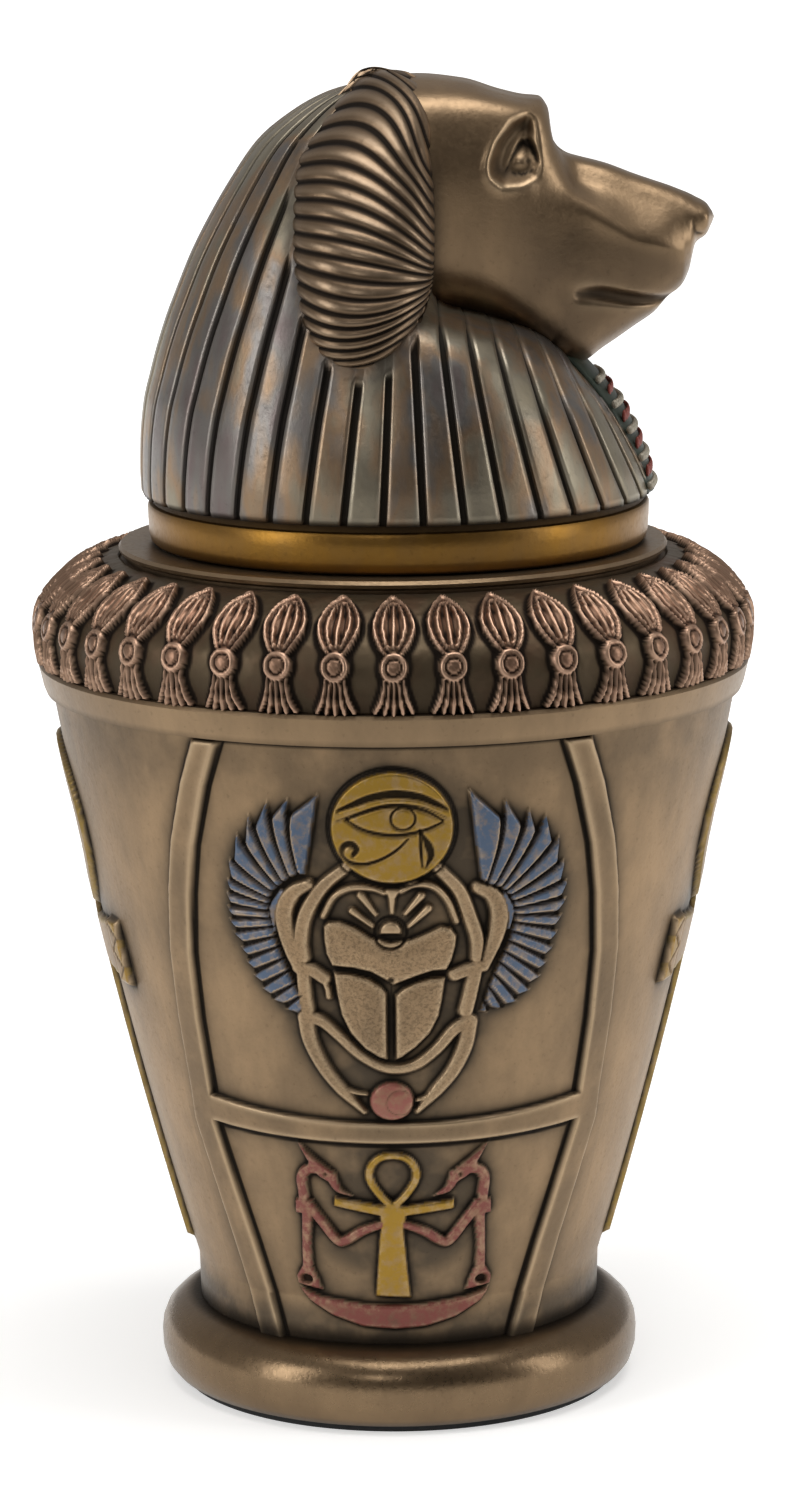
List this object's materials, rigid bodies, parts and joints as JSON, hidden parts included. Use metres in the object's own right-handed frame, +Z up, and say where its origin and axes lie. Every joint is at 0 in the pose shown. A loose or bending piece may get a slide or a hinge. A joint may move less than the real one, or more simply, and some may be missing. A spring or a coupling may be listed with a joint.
{
  "type": "canopic jar",
  "caption": "Bronze-finished canopic jar with a baboon-headed lift-off lid, round foot, tapering body with winged scarab and ankh reliefs, and a ring of lotus buds on the shoulder.",
  "frame": {"origin": "centre of the underside, on the surface that the jar stands on", "axes": "+Z up; +X is the way the baboon's head looks; the full scarab panel faces -Y"},
  "size_m": [0.0986, 0.0986, 0.1801],
  "materials": {
    "jar_bronze": "satin",
    "lid_bronze": "satin",
    "wig_steel": "satin",
    "copper_buds": "satin",
    "old_gold": "satin",
    "felt": "matte"
  },
  "bodies": {
    "root": {"jar": "jar_bronze", "lid": "lid_bronze", "felt_pad": "felt"}
  },
  "joints": []
}
